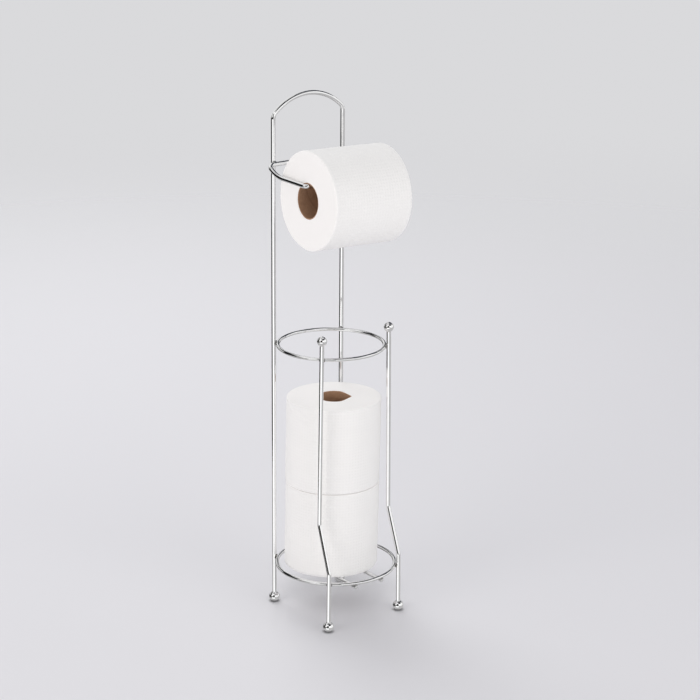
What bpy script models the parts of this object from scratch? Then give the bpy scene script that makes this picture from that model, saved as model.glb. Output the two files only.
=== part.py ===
"""Free-standing toilet roll holder of bent and welded chrome wire.

A tall hoop and two short posts carry two rings, which keep a stack of spare rolls upright on two
rest wires. An arm reaches forward from the hoop and holds the roll in use.

Metres, +Z up. The holder faces -Y, stands on z = 0 and is centred over the origin.
"""

import math
from collections import namedtuple

import bmesh
import bpy
from mathutils import Matrix, Vector

# Gaps between solids that touch on the real holder
WELD_GAP = 0.0003
SEAT_GAP = 0.0003

# Wire stock
UPRIGHT_RADIUS = 0.0025
ARM_RADIUS = 0.0025
RING_WIRE_RADIUS = 0.002
REST_RADIUS = 0.002

# Hoop, at the back
HOOP_HALF_SPREAD = 0.0489
HOOP_SETBACK = 0.0442
HOOP_HEIGHT = 0.6053
ARCH_RADIUS = 0.0685
ARCH_CORNER_RADIUS = 0.009

# Front posts, which splay towards their feet and step forward below the spare rolls
FINIAL_HALF_SPREAD = 0.0478
FOOT_HALF_SPREAD = 0.0517
POST_ADVANCE = 0.0448
FOOT_STEP = 0.0192
FINIAL_DROP = 0.2629
STEP_TOP = 0.1248
STEP_BOTTOM = 0.0703
STEP_BEND_RADIUS = 0.012

# Rings, inside the uprights
UPPER_RING_DROP = 0.0228
LOWER_RING_HEIGHT = 0.0564

# Rest wires, under the lower ring
REST_HALF_SPREAD = 0.018
REST_OFFSET = -0.0042
REST_OVERHANG = 0.002

# Balls on the ends of the wires
FOOT_BALL_RADIUS = 0.00625
FOOT_FLAT_RADIUS = 0.0024
FINIAL_BALL_RADIUS = 0.0056
ARM_BALL_RADIUS = 0.0048

# Toilet rolls
HUNG_ROLL_RADIUS = 0.0549
SPARE_ROLL_RADIUS = 0.0543
ROLL_LENGTH = 0.101
ROLL_EDGE_RADIUS = 0.0022
CORE_RADIUS = 0.0203
CORE_WALL = 0.0012
LOWER_SPARE_OFFSET = 0.0018
UPPER_SPARE_OFFSET = 0.0033

# Arm: a crossbar in front of the hoop, a side that reaches forward, and the stretch in the roll
CROSSBAR_DROP = 0.0768
CROSSBAR_OVERHANG = 0.006
ARM_SIDE_OFFSET = 0.0597
ARM_REACH = 0.0692
ARM_DROP = 0.0119
ARM_SHOULDER_RUN = 0.017
ARM_SHOULDER_DROP = 0.0102
ARM_SHOULDER_BEND = 0.008
ARM_KNEE_BEND = 0.040
ARM_CORNER_BEND = 0.0045
ARM_SPLAY = math.radians(3)
ARM_DROOP = math.radians(1.3)
ARM_TIP_BEND = 0.006
ARM_TIP_RUN = 0.009
ARM_TIP_RISE = 0.008
ROLL_END_PLAY = 0.0006

# Fineness of the round shapes
WIRE_BEVEL_RESOLUTION = 4
BEND_STEP = math.radians(11)
ARCH_STEP = math.radians(6)
RING_STEPS = 72
BALL_STEPS = 24
BALL_ARC_STEPS = 9
ROLL_STEPS = 64
EDGE_STEPS = 3
SHARP_ANGLE = math.radians(40)

Finish = namedtuple("Finish", "colour roughness metallic")
CHROME = Finish((0.80, 0.81, 0.83), 0.08, 1.0)
TISSUE = Finish((0.90, 0.89, 0.87), 0.90, 0.0)
CORE_BOARD = Finish((0.56, 0.44, 0.33), 0.85, 0.0)

UP = Vector((0, 0, 1))
DOWN = -UP

# Places worked out from the sizes above
FOOT_CENTRE_HEIGHT = math.sqrt(FOOT_BALL_RADIUS ** 2 - FOOT_FLAT_RADIUS ** 2)
FOOT_ADVANCE = POST_ADVANCE + FOOT_STEP
FINIAL_HEIGHT = HOOP_HEIGHT - FINIAL_DROP
UPPER_RING_HEIGHT = FINIAL_HEIGHT - UPPER_RING_DROP
CROSSBAR_HEIGHT = HOOP_HEIGHT - CROSSBAR_DROP


def post_half_spread(height):
    """Distance of a splayed post from the middle, at a height."""
    down_share = (FINIAL_HEIGHT - height) / (FINIAL_HEIGHT - FOOT_CENTRE_HEIGHT)
    return FINIAL_HALF_SPREAD + (FOOT_HALF_SPREAD - FINIAL_HALF_SPREAD) * down_share


def ring_between_uprights(height, post_advance):
    """Radius and centre Y of the ring that touches both hoop legs and both posts from inside."""
    hoop_square = HOOP_HALF_SPREAD ** 2 + HOOP_SETBACK ** 2
    post_square = post_half_spread(height) ** 2 + post_advance ** 2
    centre_y = (hoop_square - post_square) / (2 * (HOOP_SETBACK + post_advance))
    reach = math.hypot(HOOP_HALF_SPREAD, HOOP_SETBACK - centre_y)
    return reach - UPRIGHT_RADIUS - WELD_GAP - RING_WIRE_RADIUS, centre_y


UPPER_RING_RADIUS, UPPER_RING_Y = ring_between_uprights(UPPER_RING_HEIGHT, POST_ADVANCE)
LOWER_RING_RADIUS, LOWER_RING_Y = ring_between_uprights(LOWER_RING_HEIGHT, FOOT_ADVANCE)
REST_HEIGHT = LOWER_RING_HEIGHT - RING_WIRE_RADIUS - WELD_GAP - REST_RADIUS

CORE_BORE_RADIUS = CORE_RADIUS - CORE_WALL
PAPER_BORE_RADIUS = CORE_RADIUS + SEAT_GAP
LOWER_SPARE_HEIGHT = REST_HEIGHT + REST_RADIUS + SEAT_GAP + ROLL_LENGTH / 2
UPPER_SPARE_HEIGHT = LOWER_SPARE_HEIGHT + ROLL_LENGTH + SEAT_GAP

# The arm's roll stretch runs from its corner along ARM_DIRECTION. The core hangs on it, and the
# roll's end stands beside the arm's side.
CROSSBAR_Y = HOOP_SETBACK - UPRIGHT_RADIUS - WELD_GAP - ARM_RADIUS
ARM_CORNER = Vector((-ARM_SIDE_OFFSET, CROSSBAR_Y - ARM_REACH, CROSSBAR_HEIGHT - ARM_DROP))
ARM_DIRECTION = (
    Matrix.Rotation(-ARM_SPLAY, 3, "Z") @ Matrix.Rotation(ARM_DROOP, 3, "Y") @ Vector((1, 0, 0))
)
HANG_DIRECTION = (DOWN - ARM_DIRECTION * DOWN.dot(ARM_DIRECTION)).normalized()
HANG_DEPTH = CORE_BORE_RADIUS - ARM_RADIUS - SEAT_GAP
HUNG_ROLL_START = ARM_CORNER + ARM_DIRECTION * (ARM_RADIUS + ROLL_END_PLAY)
HUNG_ROLL_CENTRE = HUNG_ROLL_START + ARM_DIRECTION * ROLL_LENGTH / 2 + HANG_DIRECTION * HANG_DEPTH

# The hung roll's rim reaches furthest forward and the upper ring furthest back
RIM_HALF_LENGTH = ROLL_LENGTH / 2 - ROLL_EDGE_RADIUS
RIM_RADIUS = HUNG_ROLL_RADIUS - ROLL_EDGE_RADIUS
FORWARD_REACH = (
    RIM_HALF_LENGTH * abs(ARM_DIRECTION.y)
    + RIM_RADIUS * math.sqrt(1 - ARM_DIRECTION.y ** 2)
    + ROLL_EDGE_RADIUS
)
FRONT_Y = HUNG_ROLL_CENTRE.y - FORWARD_REACH
BACK_Y = UPPER_RING_Y + UPPER_RING_RADIUS + RING_WIRE_RADIUS
CENTRING_Y = -(FRONT_Y + BACK_Y) / 2


def clear_scene():
    """Remove whatever the file opened with."""
    for obj in list(bpy.data.objects):
        bpy.data.objects.remove(obj, do_unlink=True)


def make_material(name, finish):
    """A Principled material with a finish's colour, roughness and metallic value."""
    material = bpy.data.materials.new(name)
    material.use_nodes = True
    shader = material.node_tree.nodes["Principled BSDF"]
    shader.inputs["Base Color"].default_value = (*finish.colour, 1)
    shader.inputs["Roughness"].default_value = finish.roughness
    shader.inputs["Metallic"].default_value = finish.metallic
    material.diffuse_color = (*finish.colour, 1)
    return material


def add_piece(name, data, finish, parent, place=Vector(), direction=UP):
    """Put a mesh or curve in the scene as a named piece, with its Z axis along a direction."""
    piece = bpy.data.objects.new(name, data)
    data.materials.append(make_material(f"{name}_finish", finish))
    bpy.context.scene.collection.objects.link(piece)
    piece.parent = parent
    piece.location = place
    piece.rotation_mode = "QUATERNION"
    piece.rotation_quaternion = UP.rotation_difference(direction)
    return piece


def add_carrier(name, place, direction=UP, parent=None):
    """An empty that pieces are placed from; a moving piece's has its Z axis on the joint's axis."""
    carrier = bpy.data.objects.new(name, None)
    bpy.context.scene.collection.objects.link(carrier)
    carrier.parent = parent
    carrier.location = place
    carrier.rotation_mode = "QUATERNION"
    carrier.rotation_quaternion = UP.rotation_difference(direction)
    return carrier


def bent_path(corners, bend_radii):
    """The path of a wire bent at each inner corner, as points close enough for a smooth tube."""
    path = [corners[0]]
    for before, corner, after, radius in zip(corners, corners[1:], corners[2:], bend_radii):
        into = (corner - before).normalized()
        onward = (after - corner).normalized()
        turn = into.angle(onward)
        axis = into.cross(onward).normalized()
        start = corner - into * radius * math.tan(turn / 2)
        centre = start + axis.cross(into) * radius
        steps = max(2, math.ceil(turn / BEND_STEP))
        for i in range(steps + 1):
            path.append(centre + Matrix.Rotation(turn * i / steps, 3, axis) @ (start - centre))
    path.append(corners[-1])
    return path


def arc_points(centre, radius, start, end, step):
    """Points of an arc in the XZ plane, from one angle to another."""
    steps = max(2, math.ceil(abs(end - start) / step))
    angles = [start + (end - start) * i / steps for i in range(steps + 1)]
    return [centre + Vector((radius * math.cos(a), 0, radius * math.sin(a))) for a in angles]


def add_wire(name, path, radius, parent, closed=False, place=Vector()):
    """A round wire along a path, with flat cut ends unless the path is closed."""
    curve = bpy.data.curves.new(name, "CURVE")
    curve.dimensions = "3D"
    curve.bevel_depth = radius
    curve.bevel_resolution = WIRE_BEVEL_RESOLUTION
    curve.use_fill_caps = not closed
    spline = curve.splines.new("POLY")
    spline.points.add(len(path) - 1)
    for point, position in zip(spline.points, path):
        point.co = (*position, 1)
    spline.use_cyclic_u = closed
    spline.use_smooth = True
    return add_piece(name, curve, CHROME, parent, place)


def turned_mesh(name, profile, steps):
    """A lathe-turned closed solid from a profile of (radius, height) points round the Z axis.

    A profile whose ends lie on the axis is solid there, and any other is closed into a ring.
    """
    bm = bmesh.new()
    outline = [bm.verts.new((radius, 0, height)) for radius, height in profile]
    edges = [bm.edges.new(pair) for pair in zip(outline, outline[1:])]
    if profile[0][0] > 0:
        edges.append(bm.edges.new((outline[-1], outline[0])))
    bmesh.ops.spin(
        bm,
        geom=outline + edges,
        cent=(0, 0, 0),
        axis=(0, 0, 1),
        angle=math.tau,
        steps=steps,
        use_merge=True,
        use_duplicate=False,
    )
    bmesh.ops.remove_doubles(bm, verts=bm.verts, dist=WELD_GAP / 100)
    bmesh.ops.recalc_face_normals(bm, faces=bm.faces)
    mesh = bpy.data.meshes.new(name)
    bm.to_mesh(mesh)
    bm.free()
    mesh.shade_smooth()
    mesh.set_sharp_from_angle(angle=SHARP_ANGLE)
    return mesh


def add_ball(name, radius, wire_radius, parent, place, wire_direction=UP, flat_radius=0.0):
    """A ball on a wire's end, bored to its middle for the wire; a foot's is flat underneath."""
    bore = wire_radius + SEAT_GAP
    mouth_angle = math.asin(bore / radius)
    flat_angle = math.pi - math.asin(flat_radius / radius)
    profile = [(0, 0), (bore, 0)]
    for i in range(BALL_ARC_STEPS):
        angle = mouth_angle + (flat_angle - mouth_angle) * i / BALL_ARC_STEPS
        profile.append((radius * math.sin(angle), radius * math.cos(angle)))
    flat_height = radius * math.cos(flat_angle)
    if flat_radius > 0:
        profile.append((flat_radius, flat_height))
    profile.append((0, flat_height))
    add_piece(name, turned_mesh(name, profile, BALL_STEPS), CHROME, parent, place, wire_direction)


def add_hoop(parent):
    """The back upright: two legs and the arch between them, of one wire."""
    corner_x = HOOP_HALF_SPREAD - ARCH_CORNER_RADIUS
    corner_reach = ARCH_RADIUS - ARCH_CORNER_RADIUS
    half_arch = math.asin(corner_x / corner_reach)
    shoulder = math.pi / 2 + half_arch
    arch_centre = Vector((0, 0, HOOP_HEIGHT - UPRIGHT_RADIUS - ARCH_RADIUS))
    corner_height = arch_centre.z + corner_reach * math.cos(half_arch)
    left, right = Vector((-corner_x, 0, corner_height)), Vector((corner_x, 0, corner_height))
    leg_end = FOOT_CENTRE_HEIGHT + SEAT_GAP
    path = [Vector((-HOOP_HALF_SPREAD, 0, leg_end))]
    path += arc_points(left, ARCH_CORNER_RADIUS, math.pi, shoulder, BEND_STEP)
    path += arc_points(arch_centre, ARCH_RADIUS, shoulder, math.pi - shoulder, ARCH_STEP)[1:-1]
    path += arc_points(right, ARCH_CORNER_RADIUS, math.pi - shoulder, 0, BEND_STEP)
    path.append(Vector((HOOP_HALF_SPREAD, 0, leg_end)))
    add_wire("back_hoop", path, UPRIGHT_RADIUS, parent, place=Vector((0, HOOP_SETBACK, 0)))


def post_point(sign, advance, height):
    """A point of a front post's centre line, on the left for -1 and on the right for 1."""
    return Vector((sign * post_half_spread(height), -advance, height))


def add_post(side, sign, parent):
    """A front post: upright beside the rings, a step forward, its foot and its finial."""
    finial = post_point(sign, POST_ADVANCE, FINIAL_HEIGHT)
    foot = post_point(sign, FOOT_ADVANCE, FOOT_CENTRE_HEIGHT)
    corners = [
        post_point(sign, POST_ADVANCE, FINIAL_HEIGHT - SEAT_GAP),
        post_point(sign, POST_ADVANCE, STEP_TOP),
        post_point(sign, FOOT_ADVANCE, STEP_BOTTOM),
        post_point(sign, FOOT_ADVANCE, FOOT_CENTRE_HEIGHT + SEAT_GAP),
    ]
    path = bent_path(corners, [STEP_BEND_RADIUS, STEP_BEND_RADIUS])
    add_wire(f"{side}_front_post", path, UPRIGHT_RADIUS, parent)
    down_post = (corners[1] - corners[0]).normalized()
    add_ball(f"{side}_finial", FINIAL_BALL_RADIUS, UPRIGHT_RADIUS, parent, finial, down_post)
    add_foot(f"{side}_front_foot", foot, parent)


def add_foot(name, place, parent):
    """A ball foot with a flat to stand on."""
    add_ball(name, FOOT_BALL_RADIUS, UPRIGHT_RADIUS, parent, place, UP, FOOT_FLAT_RADIUS)


def add_ring(name, radius, centre_y, height, parent):
    """A ring of wire, welded inside the four uprights."""
    turns = [math.tau * i / RING_STEPS for i in range(RING_STEPS)]
    path = [Vector((radius * math.cos(turn), radius * math.sin(turn), 0)) for turn in turns]
    place = Vector((0, centre_y, height))
    add_wire(name, path, RING_WIRE_RADIUS, parent, closed=True, place=place)


def add_rest_wire(name, x, parent):
    """A straight wire under the lower ring, front to back, which the spare rolls stand on."""
    half_length = math.sqrt(LOWER_RING_RADIUS ** 2 - x ** 2) + REST_OVERHANG
    path = [Vector((0, -half_length, 0)), Vector((0, half_length, 0))]
    add_wire(name, path, REST_RADIUS, parent, place=Vector((x, LOWER_RING_Y, REST_HEIGHT)))


def add_arm(parent):
    """The arm: crossbar, side and roll stretch of one bent wire, and the ball on its raised tip."""
    side_x = -ARM_SIDE_OFFSET
    shoulder_end = CROSSBAR_HEIGHT - ARM_SHOULDER_DROP
    tip_corner = HUNG_ROLL_START + ARM_DIRECTION * (ROLL_LENGTH + ROLL_END_PLAY + ARM_TIP_BEND)
    tip = tip_corner + ARM_DIRECTION * ARM_TIP_RUN - HANG_DIRECTION * ARM_TIP_RISE
    corners = [
        Vector((HOOP_HALF_SPREAD + CROSSBAR_OVERHANG, CROSSBAR_Y, CROSSBAR_HEIGHT)),
        Vector((side_x, CROSSBAR_Y, CROSSBAR_HEIGHT)),
        Vector((side_x, CROSSBAR_Y - ARM_SHOULDER_RUN, shoulder_end)),
        ARM_CORNER,
        tip_corner,
        tip,
    ]
    bends = [ARM_SHOULDER_BEND, ARM_KNEE_BEND, ARM_CORNER_BEND, ARM_TIP_BEND]
    add_wire("arm_wire", bent_path(corners, bends), ARM_RADIUS, parent)
    inward = (tip_corner - tip).normalized()
    ball_place = tip - inward * SEAT_GAP
    add_ball("arm_end_ball", ARM_BALL_RADIUS, ARM_RADIUS, parent, ball_place, inward)


def add_roll(name, radius, carrier):
    """A full roll round its carrier's Z axis: the wound paper, and the board core inside it."""
    half = ROLL_LENGTH / 2
    paper = [(PAPER_BORE_RADIUS, half), (PAPER_BORE_RADIUS, -half)]
    for end in (-1, 1):
        for i in range(EDGE_STEPS + 1):
            angle = math.pi / 2 * (i / EDGE_STEPS - (end < 0))
            rim = radius - ROLL_EDGE_RADIUS * (1 - math.cos(angle))
            height = end * (half - ROLL_EDGE_RADIUS) + ROLL_EDGE_RADIUS * math.sin(angle)
            paper.append((rim, height))
    core = [
        (CORE_BORE_RADIUS, half),
        (CORE_BORE_RADIUS, -half),
        (CORE_RADIUS, -half),
        (CORE_RADIUS, half),
    ]
    add_piece(f"{name}_paper", turned_mesh(f"{name}_paper", paper, ROLL_STEPS), TISSUE, carrier)
    add_piece(f"{name}_core", turned_mesh(f"{name}_core", core, ROLL_STEPS), CORE_BOARD, carrier)


def build_stand(stand):
    """The welded wire stand, which is one rigid body."""
    add_hoop(stand)
    add_arm(stand)
    add_ring("upper_ring", UPPER_RING_RADIUS, UPPER_RING_Y, UPPER_RING_HEIGHT, stand)
    add_ring("lower_ring", LOWER_RING_RADIUS, LOWER_RING_Y, LOWER_RING_HEIGHT, stand)
    for side, sign in (("left", -1), ("right", 1)):
        add_post(side, sign, stand)
        rear_foot = Vector((sign * HOOP_HALF_SPREAD, HOOP_SETBACK, FOOT_CENTRE_HEIGHT))
        add_foot(f"{side}_rear_foot", rear_foot, stand)
        add_rest_wire(f"{side}_rest_wire", REST_OFFSET + sign * REST_HALF_SPREAD, stand)


def build_rolls(stand):
    """The roll on the arm, which turns about its own axis, and the spare rolls, which lift out."""
    hung_axis = add_carrier("hung_roll_axis", HUNG_ROLL_CENTRE, ARM_DIRECTION, stand)
    add_roll("hung_roll", HUNG_ROLL_RADIUS, hung_axis)
    lower_place = Vector((LOWER_SPARE_OFFSET, 0, LOWER_SPARE_HEIGHT))
    add_roll("lower_spare", SPARE_ROLL_RADIUS, add_carrier("lower_spare_axis", lower_place, UP, stand))
    upper_place = Vector((UPPER_SPARE_OFFSET, 0, UPPER_SPARE_HEIGHT))
    add_roll("upper_spare", SPARE_ROLL_RADIUS, add_carrier("upper_spare_axis", upper_place, UP, stand))


def main():
    """Build the holder, centred over the origin."""
    clear_scene()
    stand = add_carrier("stand", Vector((0, CENTRING_Y, 0)))
    build_stand(stand)
    build_rolls(stand)


main()
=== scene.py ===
"""Looks of the free-standing toilet roll holder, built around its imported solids.

The stand is bent chrome wire with balls on the wires' ends and small weld beads where wires meet.
Each roll is wound tissue on a board core. Metres, +Z up, the holder faces -Y.
"""

import logging
import math
from dataclasses import dataclass, field
from enum import Enum
from typing import Any, Iterable, Iterator, Optional, Sequence, Union

import bmesh
import bpy
from bmesh.types import BMEdge, BMesh, BMVert
from bpy.types import Material, NodeSocket, Object
from mathutils import Matrix, Vector, noise

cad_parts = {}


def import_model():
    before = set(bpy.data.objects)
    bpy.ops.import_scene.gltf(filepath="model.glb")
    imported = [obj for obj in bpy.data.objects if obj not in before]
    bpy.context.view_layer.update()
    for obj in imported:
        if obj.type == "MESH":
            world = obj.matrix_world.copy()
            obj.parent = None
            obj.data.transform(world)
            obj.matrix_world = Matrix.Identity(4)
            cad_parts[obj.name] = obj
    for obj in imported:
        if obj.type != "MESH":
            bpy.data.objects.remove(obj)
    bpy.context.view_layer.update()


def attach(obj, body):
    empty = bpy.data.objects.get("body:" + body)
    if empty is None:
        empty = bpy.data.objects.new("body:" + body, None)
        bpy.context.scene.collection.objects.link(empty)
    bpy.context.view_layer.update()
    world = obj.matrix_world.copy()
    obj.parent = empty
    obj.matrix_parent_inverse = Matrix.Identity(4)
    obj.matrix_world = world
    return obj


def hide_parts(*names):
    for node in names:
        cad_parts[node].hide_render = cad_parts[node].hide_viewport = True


LOG = logging.getLogger("toilet_roll_holder")

Colour = tuple[float, float, float]
Varying = Union["Field", float]

RIGHT = Vector((1, 0, 0))
REAR = Vector((0, 1, 0))
UP = Vector((0, 0, 1))
DEGREES = math.degrees(1)

# Stand's middle, from the middle of its footprint box
CENTRING_Y = 0.013637

# Where welded or seated pieces touch, their solids keep this gap
JOIN_GAP = 0.0003

# Points no further apart than this are one
TOUCHING = 1e-6


def grey(level: float) -> Colour:
    """A colour of three equal numbers."""
    return (level, level, level)


class Side(Enum):
    """A side of the holder, seen from the front."""

    LEFT = -1
    RIGHT = 1

    @property
    def word(self) -> str:
        """The side's name in lower case."""
        return self.name.lower()


class WireEnd(Enum):
    """What becomes of a wire's end."""

    CUT = "cut square, its edge eased"
    HIDDEN = "inside a ball"


class RayKind(Enum):
    """The rays that the surroundings tell apart."""

    CAMERA = "Is Camera Ray"
    GLOSSY = "Is Glossy Ray"
    TRANSMISSION = "Is Transmission Ray"


# Shader arithmetic


class Field:
    """A single number that varies over a surface, as a socket that Python operators work on."""

    def __init__(self, bench: "ShaderBench", socket: NodeSocket) -> None:
        """Keep the bench that adds nodes, and an output socket with one number."""
        self.bench = bench
        self.socket = socket

    def math(self, operation: str, *values: Varying) -> "Field":
        """The result of a Math node of that operation, fed with the values in order."""
        node = self.bench.add("ShaderNodeMath", {"operation": operation}, dict(enumerate(values)))
        return Field(self.bench, node.outputs[0])

    def __add__(self, other: Varying) -> "Field":
        """Sum."""
        return self.math("ADD", self, other)

    def __radd__(self, other: float) -> "Field":
        """Sum with a number on the left."""
        return self.math("ADD", other, self)

    def __sub__(self, other: Varying) -> "Field":
        """Difference."""
        return self.math("SUBTRACT", self, other)

    def __rsub__(self, other: float) -> "Field":
        """Difference from a number on the left."""
        return self.math("SUBTRACT", other, self)

    def __mul__(self, other: Varying) -> "Field":
        """Product."""
        return self.math("MULTIPLY", self, other)

    def __rmul__(self, other: float) -> "Field":
        """Product with a number on the left."""
        return self.math("MULTIPLY", other, self)

    def sine(self) -> "Field":
        """Sine of the value in radians."""
        return self.math("SINE", self)

    def fraction(self) -> "Field":
        """The part after the decimal point."""
        return self.math("FRACT", self)

    def size(self) -> "Field":
        """The value without its sign."""
        return self.math("ABSOLUTE", self)

    def larger(self, other: Varying) -> "Field":
        """The larger of two values."""
        return self.math("MAXIMUM", self, other)

    def ramped(self, start: float, end: float) -> "Field":
        """A smooth step from 0 at start to 1 at end; start may be the larger.

        Args:
            start: The value that gives 0.
            end: The value that gives 1.

        Returns:
            The step, held to 0 and 1 outside the two.
        """
        settings = {"interpolation_type": "SMOOTHSTEP", "clamp": True}
        sockets = {"Value": self, "From Min": start, "From Max": end, "To Min": 0.0, "To Max": 1.0}
        node = self.bench.add("ShaderNodeMapRange", settings, sockets)
        return Field(self.bench, node.outputs["Result"])


class ShaderBench:
    """Adds nodes to one material's or world's node tree."""

    def __init__(self, tree: bpy.types.NodeTree) -> None:
        """Start from an empty tree of nodes."""
        self.tree = tree
        tree.nodes.clear()

    def add(
        self, kind: str, settings: Optional[dict[str, Any]] = None, sockets: Optional[dict] = None
    ) -> bpy.types.Node:
        """Add any node.

        Args:
            kind: The node's type.
            settings: Its properties, set first.
            sockets: Its inputs by name or number: a Field, an output socket, or a plain value.

        Returns:
            The new node.
        """
        node = self.tree.nodes.new(kind)
        for name, value in (settings or {}).items():
            setattr(node, name, value)
        for name, value in (sockets or {}).items():
            self._feed(node.inputs[name], value)
        return node

    def _feed(self, target: NodeSocket, value: Any) -> None:
        """Link a socket, or set its value.

        Args:
            target: The input.
            value: What it takes.
        """
        if isinstance(value, Field):
            value = value.socket
        if isinstance(value, NodeSocket):
            self.tree.links.new(value, target)
        elif target.type == "RGBA" and len(value) == 3:
            target.default_value = (*value, 1.0)
        else:
            target.default_value = value

    def place(self, kind: str = "Object") -> NodeSocket:
        """The texture coordinate of that kind: Object, UV or Generated."""
        return self.add("ShaderNodeTexCoord").outputs[kind]

    def attribute(self, name: str) -> Field:
        """The number that a mesh attribute holds."""
        return Field(self, self.add("ShaderNodeAttribute", {"attribute_name": name}).outputs["Fac"])

    def parts(self, vector: NodeSocket) -> tuple[Field, Field, Field]:
        """The X, Y and Z of a vector."""
        node = self.add("ShaderNodeSeparateXYZ", None, {"Vector": vector})
        return tuple(Field(self, socket) for socket in node.outputs)

    def joined(self, x: Varying, y: Varying, z: Varying) -> NodeSocket:
        """A vector of three numbers."""
        return self.add("ShaderNodeCombineXYZ", None, {"X": x, "Y": y, "Z": z}).outputs["Vector"]

    def along(self, vector: NodeSocket, axis: Vector) -> Field:
        """How far a vector reaches along a unit axis."""
        node = self.add("ShaderNodeVectorMath", {"operation": "DOT_PRODUCT"}, {0: vector, 1: axis})
        return Field(self, node.outputs["Value"])

    def cloud(self, place: NodeSocket, scale: float, detail: float = 2, fine: float = 0.5) -> Field:
        """Soft noise from 0 to 1, with its lumps to a unit, finer layers and their strength."""
        sockets = {"Vector": place, "Scale": scale, "Detail": detail, "Roughness": fine}
        return Field(self, self.add("ShaderNodeTexNoise", None, sockets).outputs["Fac"])

    def streaks(self, x: Varying, y: Varying, z: float, *layers: float) -> Field:
        """Soft noise read at three numbers, so that each direction has its own scale."""
        return self.cloud(self.joined(x, y, z), 1.0, *layers)

    def mixed(self, share: Varying, start: Any, end: Any) -> NodeSocket:
        """A colour between two: a share of 0 gives start, and 1 gives end."""
        settings = {"data_type": "RGBA", "clamp_factor": True}
        return self.add("ShaderNodeMix", settings, {0: share, 6: start, 7: end}).outputs[2]

    def bumped(self, height: Field, distance: float, strength: float = 1.0) -> NodeSocket:
        """A surface normal from a height, of which 1 stands for the distance in metres."""
        sockets = {"Height": height, "Distance": distance, "Strength": strength}
        return self.add("ShaderNodeBump", None, sockets).outputs["Normal"]

    def surface(self, sockets: dict[str, Any]) -> None:
        """End the tree in a Principled shader with these inputs."""
        shader = self.add("ShaderNodeBsdfPrincipled", None, sockets)
        self.add("ShaderNodeOutputMaterial", None, {"Surface": shader.outputs["BSDF"]})


# Finishes


def new_material(name: str) -> tuple[Material, ShaderBench]:
    """Start a material.

    Args:
        name: Its name.

    Returns:
        The material and the bench for its nodes.
    """
    material = bpy.data.materials.new(name)
    material.use_nodes = True
    return material, ShaderBench(material.node_tree)


@dataclass(frozen=True)
class ChromeFinish:
    """Bright plating: a mirror with the faintest ripple, and dulled a little by handling."""

    name: str = "bright_chrome"
    colour: Colour = (0.93, 0.93, 0.93)
    shaded_colour: Colour = (0.88, 0.88, 0.885)
    polished: float = 0.02
    handled: float = 0.07
    smear_scale: float = 60.0
    smear_edge: tuple[float, float] = (0.45, 0.75)
    ripple_scale: float = 230.0
    ripple_depth: float = 0.000015

    def material(self) -> Material:
        """Make the plating's material.

        Returns:
            The material.
        """
        material, bench = new_material(self.name)
        place = bench.place()
        smears = bench.cloud(place, self.smear_scale, 4.0, 0.6).ramped(*self.smear_edge)
        ripple = bench.cloud(place, self.ripple_scale, 1.0)
        bench.surface(
            {
                "Base Color": bench.mixed(smears, self.colour, self.shaded_colour),
                "Metallic": 1.0,
                "Roughness": self.polished + smears * (self.handled - self.polished),
                "Normal": bench.bumped(ripple, self.ripple_depth),
            }
        )
        return material


@dataclass(frozen=True)
class BeadFinish:
    """Plating over a weld bead: the same metal, lumpier and less polished."""

    name: str = "plated_weld"
    colour: Colour = (0.42, 0.41, 0.40)
    pit_colour: Colour = (0.10, 0.09, 0.085)
    smooth: float = 0.16
    rough: float = 0.38
    lump_scale: float = 900.0
    lump_depth: float = 0.0002
    pit_edge: tuple[float, float] = (0.52, 0.30)

    def material(self) -> Material:
        """Make the bead's material.

        Returns:
            The material.
        """
        material, bench = new_material(self.name)
        lumps = bench.cloud(bench.place(), self.lump_scale, 3.0)
        pits = lumps.ramped(*self.pit_edge)
        bench.surface(
            {
                "Base Color": bench.mixed(pits, self.colour, self.pit_colour),
                "Metallic": 1.0,
                "Roughness": self.smooth + pits * (self.rough - self.smooth),
                "Normal": bench.bumped(lumps, self.lump_depth),
            }
        )
        return material


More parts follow.
